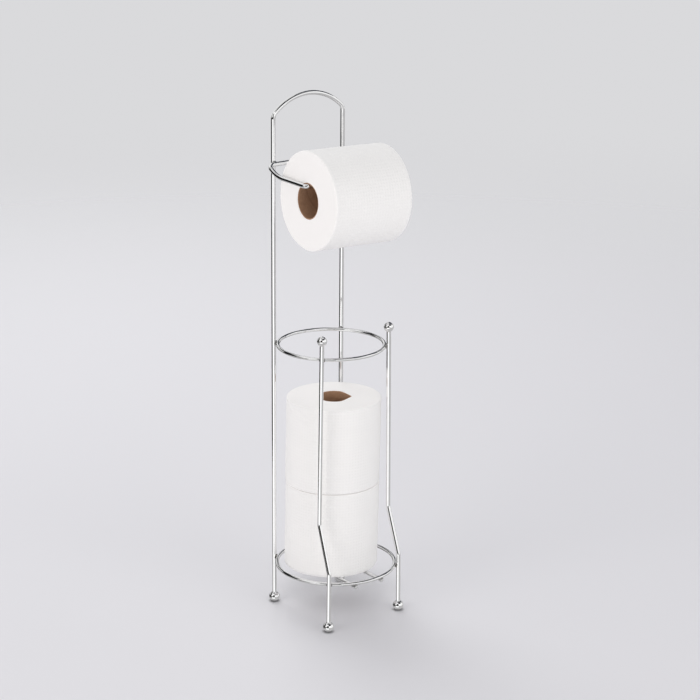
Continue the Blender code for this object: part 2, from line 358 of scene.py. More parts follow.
@dataclass(frozen=True)
class TissueFinish:
    """Wound tissue: crepe and pressed dots on the side, the edges of the layers on the ends;
    painted shade darkens the dots and the perforations, and the ends are painted lighter than the
    side.
    """

    name: str = "wound_tissue"
    colour: Colour = (0.906, 0.897, 0.882)
    # Painted shade in the pressed dots and the perforations, and a random mottle, darken the side
    # towards this colour
    painted_shade_and_mottle_colour: Colour = (0.87, 0.862, 0.85)
    # The ends' colours are lighter than the side's: painted light, for end faces that catch more
    # light
    painted_light_end_colour: Colour = (0.965, 0.947, 0.93)
    painted_light_layer_colour: Colour = (0.93, 0.915, 0.90)
    roughness: float = 0.93
    matt: float = 0.05
    dot_pitch: float = 0.0036
    dot_edge: tuple[float, float] = (0.35, 0.9)
    # How far painted shade darkens the pressed dots
    dot_depth: float = 0.00015
    dot_shade: float = 0.4
    crepe_pitch: float = 0.0007
    crepe_along: float = 260.0
    crepe_depth: float = 0.00014
    flow_scale: tuple[float, float] = (9.0, 70.0)
    flow_shade: float = 0.45
    tear_count: int = 3
    tear_offset: float = 0.21
    tear_width: float = 0.0005
    tear_depth: float = 0.00008
    # How far painted shade darkens the perforations
    tear_shade: float = 0.3
    slit_pitch: float = 0.0032
    slit_edge: tuple[float, float] = (0.30, 0.42)
    layer_pitch: float = 0.00055
    layer_wander: float = 5.0
    wander_scale: tuple[float, float] = (14.0, 300.0)
    layer_depth: float = 0.00012
    layer_relief: float = 0.4
    layer_shade: float = 0.35
    ring_scale: tuple[float, float] = (900.0, 3.0)
    ring_shade: float = 0.45
    relief_unit: float = 0.001
    relief_strength: float = 0.8

    def material(self, roll: "TissueRoll") -> Material:
        """Make the material of one roll, whose UV map gives turns round it and metres along it.

        Args:
            roll: The roll that wears it.

        Returns:
            The material.
        """
        material, bench = new_material(f"{roll.name}_{self.name}")
        around, along, _ = bench.parts(bench.place("UV"))
        on_end = bench.attribute("on_end")
        on_side = 1.0 - on_end
        circumference = math.tau * roll.radius

        rows = around * float(round(circumference / self.dot_pitch))
        lines = along * (1.0 / self.dot_pitch)
        dots = ((rows * math.pi).sine() * (lines * math.pi).sine()).size().ramped(*self.dot_edge)
        crepe_round = circumference / self.crepe_pitch
        crepe = bench.streaks(around * crepe_round, along * self.crepe_along, 0.0)
        flow_round, flow_along = self.flow_scale
        flow = bench.streaks(around * flow_round, along * flow_along, 0.0, 3)

        tear_step = (around * float(self.tear_count) + self.tear_offset).fraction() - 0.5
        tear_distance = tear_step.size() * (circumference / self.tear_count)
        slits = (along * (1.0 / self.slit_pitch)).fraction().ramped(*self.slit_edge)
        tears = tear_distance.ramped(self.tear_width, 0.0) * slits * on_side

        wander_round, wander_along = self.wander_scale
        wander = bench.streaks(around * wander_round, along * wander_along, 3.0)
        phase = along * (math.tau / self.layer_pitch) + wander * self.layer_wander
        layers = phase.sine() * 0.5 + 0.5
        ring_along, ring_round = self.ring_scale
        rings = bench.streaks(along * ring_along, around * ring_round, 1.0, 3)

        # The pressed dots and the perforations are darkened as well as sunk, which is painted shade
        # in their hollows; the flow adds a random mottle
        dot_shade_and_mottle = dots * self.dot_shade + flow * self.flow_shade
        side_colour = bench.mixed(dot_shade_and_mottle, self.colour, self.painted_shade_and_mottle_colour)
        perforation_painted_shade_colour = bench.mixed(tears * self.tear_shade, side_colour, self.painted_shade_and_mottle_colour)
        end_shade = layers * self.layer_shade + rings * self.ring_shade
        # The end's colour, painted lighter than the side, with its layer bands and rings
        painted_light_end_colour = bench.mixed(end_shade, self.painted_light_end_colour, self.painted_light_layer_colour)
        side_relief = crepe * self.crepe_depth - dots * self.dot_depth - tears * self.tear_depth
        end_relief = (layers * self.layer_relief + rings) * self.layer_depth
        relief = (side_relief * on_side + end_relief * on_end) * (1.0 / self.relief_unit)
        bench.surface(
            {
                "Base Color": bench.mixed(on_end, perforation_painted_shade_colour, painted_light_end_colour),
                "Roughness": self.roughness + flow * self.matt,
                "Specular IOR Level": 0.15,
                "Sheen Weight": 0.12,
                "Sheen Roughness": 0.6,
                "Normal": bench.bumped(relief, self.relief_unit, self.relief_strength),
            }
        )
        return material


@dataclass(frozen=True)
class BoardFinish:
    """Grey-brown core board: felted fibres and the seam of its spiral winding."""

    name: str = "core_board"
    colour: Colour = (0.475, 0.290, 0.182)
    fibre_colour: Colour = (0.36, 0.213, 0.130)
    seam_colour: Colour = (0.27, 0.155, 0.095)
    seam_turns: float = 1.6
    seam_width: float = 0.035
    seam_shade: float = 0.4
    seam_depth: float = 0.8
    fibre_scale: tuple[float, float] = (34.0, 900.0)
    fibre_share: float = 0.7
    fibre_depth: float = 0.00015
    blotch_scale: float = 95.0
    felt_edge: tuple[float, float] = (0.3, 0.75)

    def material(self, roll: "TissueRoll") -> Material:
        """Make the material of one roll's core, whose UV map gives turns and metres.

        Args:
            roll: The roll that it is wound on.

        Returns:
            The material.
        """
        material, bench = new_material(f"{roll.name}_{self.name}")
        around, along, _ = bench.parts(bench.place("UV"))
        winding = around + along * (self.seam_turns / roll.length)
        seam = (winding.fraction() - 0.5).size().ramped(self.seam_width, 0.0)
        fibres_round, fibres_along = self.fibre_scale
        fibres = bench.streaks(winding * fibres_round, along * fibres_along, 0.0, 4, 0.65)
        blotches = bench.cloud(bench.place(), self.blotch_scale) * (1 - self.fibre_share)
        felt = (fibres * self.fibre_share + blotches).ramped(*self.felt_edge)
        board = bench.mixed(felt, self.colour, self.fibre_colour)
        bench.surface(
            {
                "Base Color": bench.mixed(seam * self.seam_shade, board, self.seam_colour),
                "Roughness": 0.86 + felt * 0.1,
                "Specular IOR Level": 0.2,
                "Normal": bench.bumped(felt - seam * self.seam_depth, self.fibre_depth),
            }
        )
        return material


@dataclass(frozen=True)
class FloorFinish:
    """A plain pale floor that fades into the backdrop away from the holder."""

    name: str = "pale_floor"
    colour: Colour = (0.77, 0.765, 0.79)
    faded_from: float = 0.7
    faded_to: float = 3.0

    def material(self) -> Material:
        """Make the floor's material.

        Returns:
            The material.
        """
        material, bench = new_material(self.name)
        x, y, _ = bench.parts(bench.place())
        away = x.math("SQRT", x * x + y * y)
        bench.surface(
            {
                "Base Color": self.colour,
                "Roughness": 0.6,
                "Specular IOR Level": 0.2,
                "Alpha": away.ramped(self.faded_to, self.faded_from),
            }
        )
        return material


@dataclass(frozen=True)
class ContactShade:
    """The shade of the floor close under a piece, fading from its middle."""

    name: str = "contact_shade"
    colour: Colour = (0.05, 0.05, 0.055)
    full_from: float = 0.7

    def material(self) -> Material:
        """Make the shade's material.

        Returns:
            The material.
        """
        material, bench = new_material(self.name)
        near = bench.attribute("nearness").ramped(0.0, self.full_from)
        bench.surface(
            {
                "Base Color": self.colour,
                "Roughness": 1.0,
                "Specular IOR Level": 0.0,
                "Alpha": near * bench.attribute("strength"),
            }
        )
        return material


@dataclass(frozen=True)
class GlowingCardFinish:
    """A white card that glows by its own emission, though it is no lamp: painted light for bright
    metal to mirror.
    """

    name: str = "glowing_white_card"
    level: float = 0.9

    def material(self) -> Material:
        """Make the card's material.

        Returns:
            The material.
        """
        material, bench = new_material(self.name)
        bench.surface(
            {
                # The card glows by emission alone, though it is no lamp: painted light
                "Base Color": (0.0, 0.0, 0.0),
                "Specular IOR Level": 0.0,
                "Emission Color": grey(self.level),
                "Emission Strength": 1.0,
            }
        )
        return material


CHROME = ChromeFinish()
RUBBED_CHROME = ChromeFinish("rubbed_chrome", polished=0.30, handled=0.45)
SHADE = ContactShade()
GLOWING_CARD = GlowingCardFinish()
BEAD = BeadFinish()
TISSUE = TissueFinish()
BOARD = BoardFinish()
FLOOR = FloorFinish()


# Meshes and pieces


def mesh_object(name: str, bm: BMesh, materials: Iterable[Material]) -> Object:
    """Make an object of a finished mesh.

    Args:
        name: The object's name.
        bm: Its mesh, in place; it is freed.
        materials: What it is made of.

    Returns:
        The object, in the scene.
    """
    mesh = bpy.data.meshes.new(name)
    bm.to_mesh(mesh)
    bm.free()
    for material in materials:
        mesh.materials.append(material)
    made = bpy.data.objects.new(name, mesh)
    bpy.context.scene.collection.objects.link(made)
    return made


def spun(
    bm: BMesh,
    geom: Sequence[Any],
    axis: Sequence[float],
    angle: float,
    steps: int,
    centre: Sequence[float] = (0, 0, 0),
    merge: bool = False,
) -> list:
    """Sweep part of a mesh round an axis.

    Args:
        bm: The mesh.
        geom: The vertices and edges that turn.
        axis: What they turn about.
        angle: How far they turn.
        steps: In how many steps.
        centre: A point of the axis.
        merge: Whether the last step is joined to the first.

    Returns:
        The last step's vertices and edges.
    """
    swept = bmesh.ops.spin(
        bm,
        geom=geom,
        cent=centre,
        axis=axis,
        angle=angle,
        steps=steps,
        use_merge=merge,
        use_duplicate=False,
    )
    return swept["geom_last"]


def turned_round(bm: BMesh, steps: int, merge: bool) -> list:
    """Spin a whole mesh once round the Z axis, and give the last step's parts."""
    return spun(bm, [*bm.verts, *bm.edges], UP, math.tau, steps, merge=merge)


def settled(bm: BMesh, placing: Matrix) -> BMesh:
    """Merge a mesh's doubled points, turn its faces outwards and put it in its place.

    Args:
        bm: The mesh.
        placing: Where it goes.

    Returns:
        The same mesh.
    """
    bmesh.ops.remove_doubles(bm, verts=bm.verts, dist=TOUCHING)
    bmesh.ops.recalc_face_normals(bm, faces=bm.faces)
    bmesh.ops.transform(bm, matrix=placing, verts=bm.verts)
    return bm


def only(kind: type, geom: Iterable[Any]) -> list:
    """The parts of a mesh that are of one kind, such as its edges."""
    return [part for part in geom if isinstance(part, kind)]


def held(value: float) -> float:
    """A number held to the range from 0 to 1."""
    return min(1.0, max(0.0, value))


@dataclass
class Dressing:
    """How a finished mesh becomes a piece of the holder."""

    body: str
    slot: str
    materials: Sequence[Material]
    sharp_angle: float = math.radians(38)

    def piece(self, name: str, bm: BMesh, nodes: Iterable[str] = ()) -> Object:
        """Make an object of a mesh, and hang it on its body.

        Args:
            name: The piece's name.
            bm: Its mesh, in place; it is freed.
            nodes: The solids that it stands for.

        Returns:
            The piece.
        """
        piece = mesh_object(name, bm, self.materials)
        piece.data.shade_smooth()
        piece.data.set_sharp_from_angle(angle=self.sharp_angle)
        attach(piece, self.body)
        if nodes:
            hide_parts(*nodes)
        return piece


def turned_to(place: Vector, direction: Vector) -> Matrix:
    """The placing that puts the origin at a place and the Z axis along a direction."""
    return Matrix.Translation(place) @ UP.rotation_difference(direction).to_matrix().to_4x4()


@dataclass
class WireBender:
    """Draws one round wire from its start, stretch by stretch and bend by bend."""

    radius: float
    place: Vector
    heading: Vector
    sides: int = 32
    bend_step: float = math.radians(4)
    fewest_steps: int = 3
    cut_ease: float = 0.3
    bm: BMesh = field(default_factory=bmesh.new)
    rim: list[BMEdge] = field(init=False)

    def __post_init__(self) -> None:
        """Cut the wire's first end."""
        placing = turned_to(self.place, self.heading)
        bmesh.ops.create_circle(
            self.bm, cap_ends=False, radius=self.radius, segments=self.sides, matrix=placing
        )
        self.first_rim = self.rim = list(self.bm.edges)

    def run(self, length: float) -> None:
        """Draw a straight stretch.

        Args:
            length: How long it is.
        """
        drawn = bmesh.ops.extrude_edge_only(self.bm, edges=self.rim)["geom"]
        self.rim = only(BMEdge, drawn)
        bmesh.ops.translate(self.bm, verts=only(BMVert, drawn), vec=self.heading * length)
        self.place = self.place + self.heading * length

    def bend(self, radius: float, angle: float, inner: Vector) -> None:
        """Bend the wire round a former.

        Args:
            radius: The bend's radius, to the wire's centre line.
            angle: How far it turns.
            inner: A direction square to the heading, towards the bend's centre.
        """
        axis = self.heading.cross(inner).normalized()
        centre = self.place + inner.normalized() * radius
        section = self.rim + list(dict.fromkeys(v for edge in self.rim for v in edge.verts))
        steps = max(self.fewest_steps, math.ceil(angle / self.bend_step))
        self.rim = only(BMEdge, spun(self.bm, section, axis, angle, steps, centre))
        turn = Matrix.Rotation(angle, 3, axis)
        self.place = centre + turn @ (self.place - centre)
        self.heading = (turn @ self.heading).normalized()

    def through(self, corners: Sequence[Vector], radii: Sequence[float]) -> None:
        """Draw the wire along straight lines with a bend at each inner corner.

        Args:
            corners: Where the lines meet, after the wire's present place; the last is its end.
            radii: The bends' radii, one for each corner but the last.
        """
        for corner, after, radius in zip(corners, corners[1:], radii):
            onward = (after - corner).normalized()
            turn = self.heading.angle(onward)
            setback = radius * math.tan(turn / 2)
            self.run((corner - self.place).length - setback)
            inner = onward - self.heading * onward.dot(self.heading)
            self.bend(radius, turn, inner)
        self.run((corners[-1] - self.place).length)

    def close(self, start: WireEnd, end: WireEnd) -> BMesh:
        """Cap both ends.

        Args:
            start: What becomes of the first end.
            end: What becomes of the last end.

        Returns:
            The finished mesh.
        """
        for rim, kind in ((self.first_rim, start), (self.rim, end)):
            bmesh.ops.holes_fill(self.bm, edges=rim, sides=0)
            if kind is WireEnd.CUT:
                bmesh.ops.bevel(
                    self.bm,
                    geom=rim,
                    offset=self.radius * self.cut_ease,
                    affect="EDGES",
                    segments=4,
                    profile=0.5,
                    material=-1,
                )
        bmesh.ops.recalc_face_normals(self.bm, faces=self.bm.faces)
        return self.bm


# The stand


@dataclass(frozen=True)
class Uprights:
    """Where the four uprights stand, and the wires' and rings' common sizes."""

    wire: float = 0.0025
    ring_wire: float = 0.002
    hoop_half_spread: float = 0.0489
    hoop_setback: float = 0.0442
    finial_half_spread: float = 0.0478
    foot_half_spread: float = 0.0517
    post_advance: float = 0.0448
    foot_step: float = 0.0192
    finial_height: float = 0.3424
    foot_ball: float = 0.00625
    foot_flat: float = 0.0024

    @property
    def foot_height(self) -> float:
        """Height of the foot balls' centres over the floor."""
        return math.sqrt(self.foot_ball**2 - self.foot_flat**2)

    @property
    def foot_advance(self) -> float:
        """How far forward the front feet stand."""
        return self.post_advance + self.foot_step

    def post_half_spread(self, height: float) -> float:
        """Distance of a splayed post from the middle, at a height."""
        share = (self.finial_height - height) / (self.finial_height - self.foot_height)
        return self.finial_half_spread + (self.foot_half_spread - self.finial_half_spread) * share

    def post(self, side: Side, advance: float, height: float) -> Vector:
        """A point of a front post's centre line, so far forward and so high."""
        return Vector((side.value * self.post_half_spread(height), CENTRING_Y - advance, height))

    def leg(self, side: Side, height: float) -> Vector:
        """A point of a hoop leg's centre line, at a height."""
        return Vector((side.value * self.hoop_half_spread, CENTRING_Y + self.hoop_setback, height))


@dataclass
class Hoop:
    """The back upright: two legs and the arch over them, one wire."""

    uprights: Uprights
    height: float = 0.6053
    arch_radius: float = 0.0685
    corner_radius: float = 0.009

    def build(self, dressing: Dressing) -> Object:
        """Bend the hoop.

        Args:
            dressing: Its finish and body.

        Returns:
            The piece.
        """
        u = self.uprights
        corner_x = u.hoop_half_spread - self.corner_radius
        reach = self.arch_radius - self.corner_radius
        half_arch = math.asin(corner_x / reach)
        arch_height = self.height - u.wire - self.arch_radius
        corner_height = arch_height + reach * math.cos(half_arch)
        corner = (self.corner_radius, math.pi / 2 - half_arch)
        bender = WireBender(u.wire, u.leg(Side.LEFT, u.foot_height), UP)
        bender.run(corner_height - u.foot_height)
        for radius, angle in (corner, (self.arch_radius, 2 * half_arch), corner):
            bender.bend(radius, angle, REAR.cross(bender.heading))
        bender.run(corner_height - u.foot_height)
        mesh = bender.close(WireEnd.HIDDEN, WireEnd.HIDDEN)
        return dressing.piece("hoop_wire", mesh, ["back_hoop"])


@dataclass
class FrontPost:
    """A splayed post with a step forward below the spare rolls."""

    uprights: Uprights
    side: Side
    step_top: float = 0.1248
    step_bottom: float = 0.0703
    bend_radius: float = 0.012

    def build(self, dressing: Dressing) -> Object:
        """Bend the post.

        Args:
            dressing: Its finish and body.

        Returns:
            The piece.
        """
        u = self.uprights
        corners = [
            u.post(self.side, u.post_advance, u.finial_height),
            u.post(self.side, u.post_advance, self.step_top),
            u.post(self.side, u.foot_advance, self.step_bottom),
            u.post(self.side, u.foot_advance, u.foot_height),
        ]
        bender = WireBender(u.wire, corners[0], (corners[1] - corners[0]).normalized())
        bender.through(corners[1:], [self.bend_radius, self.bend_radius])
        mesh = bender.close(WireEnd.HIDDEN, WireEnd.HIDDEN)
        name = f"{self.side.word}_post_wire"
        return dressing.piece(name, mesh, [f"{self.side.word}_front_post"])


@dataclass
class Ball:
    """A polished ball on a wire's end, with a small fillet where the wire enters."""

    name: str
    node: str
    radius: float
    wire: float
    place: Vector
    wire_direction: Vector
    flat_radius: float = 0.0
    fillet: float = 0.0009
    fillet_steps: int = 4
    fillet_inset: float = 0.96
    fillet_dip: float = 0.2
    steps: int = 56

    def build(self, dressing: Dressing) -> Object:
        """Turn the ball.

        Args:
            dressing: Its finish and body.

        Returns:
            The piece.
        """
        bm = bmesh.new()
        bottom = math.asin(self.flat_radius / self.radius)
        top = math.pi - math.asin((self.wire + self.fillet) / self.radius)
        lowest = Vector((self.flat_radius, 0, -self.radius * math.cos(bottom)))
        first = bm.verts.new(lowest)
        arc = spun(bm, [first], -REAR, top - bottom, self.steps // 2)
        self._add_fillet(bm, only(BMVert, arc)[0])
        if self.flat_radius:
            bm.edges.new((bm.verts.new((0, 0, lowest.z)), first))
        turned_round(bm, self.steps, True)
        mesh = settled(bm, turned_to(self.place, self.wire_direction))
        return dressing.piece(self.name, mesh, [self.node])

    def _add_fillet(self, bm: BMesh, edge_vert: BMVert) -> None:
        """Carry the ball's profile up into a concave fillet on the wire, and in to the axis.

        Args:
            bm: The profile's mesh.
            edge_vert: The last point of the ball's arc.
        """
        height = edge_vert.co.z + self.fillet
        centre = (self.wire + self.fillet, 0, height)
        turned = spun(bm, [edge_vert], REAR, math.pi / 2, self.fillet_steps, centre)
        last = only(BMVert, turned)[0]
        dip = height - self.fillet * self.fillet_dip
        for x, z in ((self.wire * self.fillet_inset, height), (0, dip)):
            point = bm.verts.new((x, 0, z))
            bm.edges.new((last, point))
            last = point


@dataclass
class WeldBeads:
    """The small beads where wires cross, as one piece."""

    name: str
    places: list[tuple[Vector, Vector, Vector]] = field(default_factory=list)
    length: float = 0.0034
    width: float = 0.0030
    thickness: float = 0.0023
    lump: float = 0.00045
    lump_scale: float = 900.0

    def join(self, first: Vector, second: Vector, along: Vector) -> None:
        """Add a bead between two wires' nearest points, lying along the first wire."""
        middle, across = (first + second) / 2, (second - first).normalized()
        self.places.append((middle, across, along.normalized()))

    def build(self, dressing: Dressing) -> Object:
        """Form the beads.

        Args:
            dressing: Their finish and body.

        Returns:
            The piece.
        """
        bm = bmesh.new()
        for middle, across, along in self.places:
            side = across.cross(along).normalized()
            along = side.cross(across)
            turning = Matrix((side, along, across)).transposed().to_4x4()
            shape = Matrix.Diagonal((self.width, self.length, self.thickness, 1))
            made = bmesh.ops.create_icosphere(
                bm, subdivisions=4, radius=1.0, matrix=Matrix.Translation(middle) @ turning @ shape
            )
            for vert in made["verts"]:
                lift = noise.noise(vert.co * self.lump_scale) * self.lump
                vert.co += (vert.co - middle).normalized() * lift
        bmesh.ops.recalc_face_normals(bm, faces=bm.faces)
        return dressing.piece(self.name, bm)


@dataclass
class WireRing:
    """A closed ring of wire that holds the rolls, welded inside the uprights."""

    uprights: Uprights
    name: str
    node: str
    height: float
    advance: float
    steps: int = 180

    def __post_init__(self) -> None:
        """Work out the circle that touches all four uprights from inside."""
        u = self.uprights
        leg_square = u.hoop_half_spread**2 + u.hoop_setback**2
        spread = u.post_half_spread(self.height)
        offset = (leg_square - spread**2 - self.advance**2) / (2 * (u.hoop_setback + self.advance))
        reach = math.hypot(u.hoop_half_spread, u.hoop_setback - offset)
        self.radius = reach - u.wire - JOIN_GAP - u.ring_wire
        self.centre = Vector((0, CENTRING_Y + offset, self.height))

    def build(self, dressing: Dressing) -> Object:
        """Roll the ring.

        Args:
            dressing: Its finish and body.

        Returns:
            The piece.
        """
        bm = bmesh.new()
        section = Matrix.Translation((self.radius, 0, 0)) @ Matrix.Rotation(math.pi / 2, 4, "X")
        bmesh.ops.create_circle(
            bm, cap_ends=False, radius=self.uprights.ring_wire, segments=32, matrix=section
        )
        turned_round(bm, self.steps, True)
        mesh = settled(bm, Matrix.Translation(self.centre))
        return dressing.piece(self.name, mesh, [self.node])

    def weld(self, beads: WeldBeads) -> None:
        """Mark the welds to the four uprights.

        Args:
            beads: What collects them.
        """
        u = self.uprights
        for side in Side:
            for upright in (u.leg(side, self.height), u.post(side, self.advance, self.height)):
                outward = (upright - self.centre).normalized()
                tangent = UP.cross(outward)
                beads.join(self.centre + outward * self.radius, upright, tangent)


@dataclass
class RestWire:
    """A straight wire under the lower ring, front to back."""

    ring: WireRing
    side: Side
    half_spread: float = 0.018
    offset: float = -0.0042
    radius: float = 0.002
    overhang: float = 0.002

    @property
    def x(self) -> float:
        """The wire's place from side to side."""
        return self.offset + self.side.value * self.half_spread

    @property
    def reach(self) -> float:
        """How far from the ring's middle the wire meets the ring."""
        return math.sqrt(self.ring.radius**2 - self.x**2)

    @property
    def height(self) -> float:
        """The wire's height: it hangs under the ring."""
        return self.ring.height - self.ring.uprights.ring_wire - JOIN_GAP - self.radius

    def build(self, dressing: Dressing) -> Object:
        """Cut the wire.

        Args:
            dressing: Its finish and body.

        Returns:
            The piece.
        """
        half = self.reach + self.overhang
        start = Vector((self.x, self.ring.centre.y - half, self.height))
        bender = WireBender(self.radius, start, REAR)
        bender.run(2 * half)
        mesh = bender.close(WireEnd.CUT, WireEnd.CUT)
        name = f"{self.side.word}_rest"
        return dressing.piece(name, mesh, [f"{self.side.word}_rest_wire"])

    def weld(self, beads: WeldBeads) -> None:
        """Mark the welds to the ring.

        Args:
            beads: What collects them.
        """
        for y in (self.ring.centre.y - self.reach, self.ring.centre.y + self.reach):
            on_rest = Vector((self.x, y, self.height))
            beads.join(on_rest, Vector((self.x, y, self.ring.height)), REAR)


@dataclass
class Arm:
    """The arm: a crossbar, a side that comes forward, and the stretch inside the roll."""

    uprights: Uprights
    roll_length: float
    core_bore: float
    crossbar_height: float = 0.5285
    crossbar_overhang: float = 0.006
    side_offset: float = 0.0597
    reach: float = 0.0692
    drop: float = 0.0119
    shoulder_run: float = 0.017
    shoulder_drop: float = 0.0102
    bends: tuple[float, ...] = (0.008, 0.040, 0.0045, 0.006)
    splay: float = math.radians(3)
    droop: float = math.radians(1.3)
    tip_run: float = 0.009
    tip_rise: float = 0.008
    end_play: float = 0.0006
    ball: float = 0.0048

    def __post_init__(self) -> None:
        """Work out where the roll's stretch lies."""
        self.wire = self.uprights.wire
        self.crossbar_y = CENTRING_Y + self.uprights.hoop_setback - 2 * self.wire - JOIN_GAP
        self.corner = Vector(
            (-self.side_offset, self.crossbar_y - self.reach, self.crossbar_height - self.drop)
        )
        turn = Matrix.Rotation(-self.splay, 3, "Z") @ Matrix.Rotation(self.droop, 3, "Y")
        self.direction = turn @ RIGHT
        self.hang = (self.direction * UP.dot(self.direction) - UP).normalized()
        self.roll_start = self.corner + self.direction * (self.wire + self.end_play)
        tip_bend = self.bends[-1]
        stretch = self.roll_length + self.end_play + tip_bend
        self.tip_corner = self.roll_start + self.direction * stretch
        self.tip = self.tip_corner + self.direction * self.tip_run - self.hang * self.tip_rise

    @property
    def roll_centre(self) -> Vector:
        """The middle of the roll that hangs on the arm."""
        depth = self.core_bore - self.wire - JOIN_GAP
        return self.roll_start + self.direction * self.roll_length / 2 + self.hang * depth

    def build(self, dressing: Dressing) -> Object:
        """Bend the arm.

        Args:
            dressing: Its finish and body.

        Returns:
            The piece.
        """
        end_x = self.uprights.hoop_half_spread + self.crossbar_overhang
        start = Vector((end_x, self.crossbar_y, self.crossbar_height))
        shoulder_height = self.crossbar_height - self.shoulder_drop
        corners = [
            Vector((-self.side_offset, self.crossbar_y, self.crossbar_height)),
            Vector((-self.side_offset, self.crossbar_y - self.shoulder_run, shoulder_height)),
            self.corner,
            self.tip_corner,
            self.tip,
        ]
        bender = WireBender(self.wire, start, -RIGHT)
        bender.through(corners, self.bends)
        mesh = bender.close(WireEnd.CUT, WireEnd.HIDDEN)
        return dressing.piece("arm_bent_wire", mesh, ["arm_wire"])

    def end_ball(self) -> Ball:
        """The ball on the arm's raised tip."""
        inward = (self.tip_corner - self.tip).normalized()
        return Ball("arm_ball", "arm_end_ball", self.ball, self.wire, self.tip, inward)

    def weld(self, beads: WeldBeads) -> None:
        """Mark the crossbar's welds to the hoop's legs.

        Args:
            beads: What collects them.
        """
        for side in Side:
            leg = self.uprights.leg(side, self.crossbar_height)
            bar = Vector((leg.x, self.crossbar_y, self.crossbar_height))
            beads.join(bar, leg, RIGHT)


# The rolls


def turn_of(place: Vector) -> float:
    """A place's angle round the Z axis, from 0 to a full turn."""
    return math.atan2(place.y, place.x) % math.tau


@dataclass(frozen=True)
class Crease:
    """A soft fold pressed into a roll's side, from one place to another."""

    start: tuple[float, float]
    end: tuple[float, float]
    depth: float
    width: float = 0.0027
    end_fade: float = 0.12

    def sunk(self, turn: float, height: float, radius: float) -> float:
        """How far the crease sinks the surface.

        Args:
            turn: Angle round the roll.
            height: Height from the roll's middle.
            radius: The roll's radius.

        Returns:
            The depth there.
        """
        start = Vector((self.start[0] * radius, self.start[1]))
        line = Vector((self.end[0] * radius, self.end[1])) - start
        point = Vector((turn * radius, height)) - start
        share = held(point.dot(line) / line.length_squared)
        away = (point - line * share).length
        fade = math.sin(math.pi * (self.end_fade + (1 - 2 * self.end_fade) * share))
        return self.depth * fade * math.exp(-((away / self.width) ** 2))


@dataclass(frozen=True)
class Pinch:
    """A core's mouth pressed out of round: pushed in on one side, pointed on the other."""

    turn: float
    push: float = 0.17
    point: float = 0.62
    point_from: float = 0.35
    sharpness: float = 1.5
    depth: float = 0.042
    spread: float = 0.017

    def press(self, vert: BMVert, core: float, half: float) -> None:
        """Move a point near the core's upper mouth.

        Args:
            vert: The point, about the roll's own axis.
            core: The core's outer radius.
            half: Half of the roll's length.
        """
        reach = vert.co.xy.length
        near = held(1 - (reach - core) / self.spread)
        high = held(1 - (half - vert.co.z) / self.depth)
        share = near * high * high * (3 - 2 * high)
        if share <= 0:
            return
        turning = Matrix.Rotation(-self.turn, 3, "Z")
        place = turning @ vert.co
        ahead = place.x / reach
        rim = min(reach, core)
        if ahead < 0:
            place.x += self.push * rim * ahead * ahead * share
        pointed = held((ahead - self.point_from) / (1 - self.point_from)) ** self.sharpness
        place.y -= place.y * self.point * pointed * share * rim / reach
        vert.co = turning.inverted() @ place


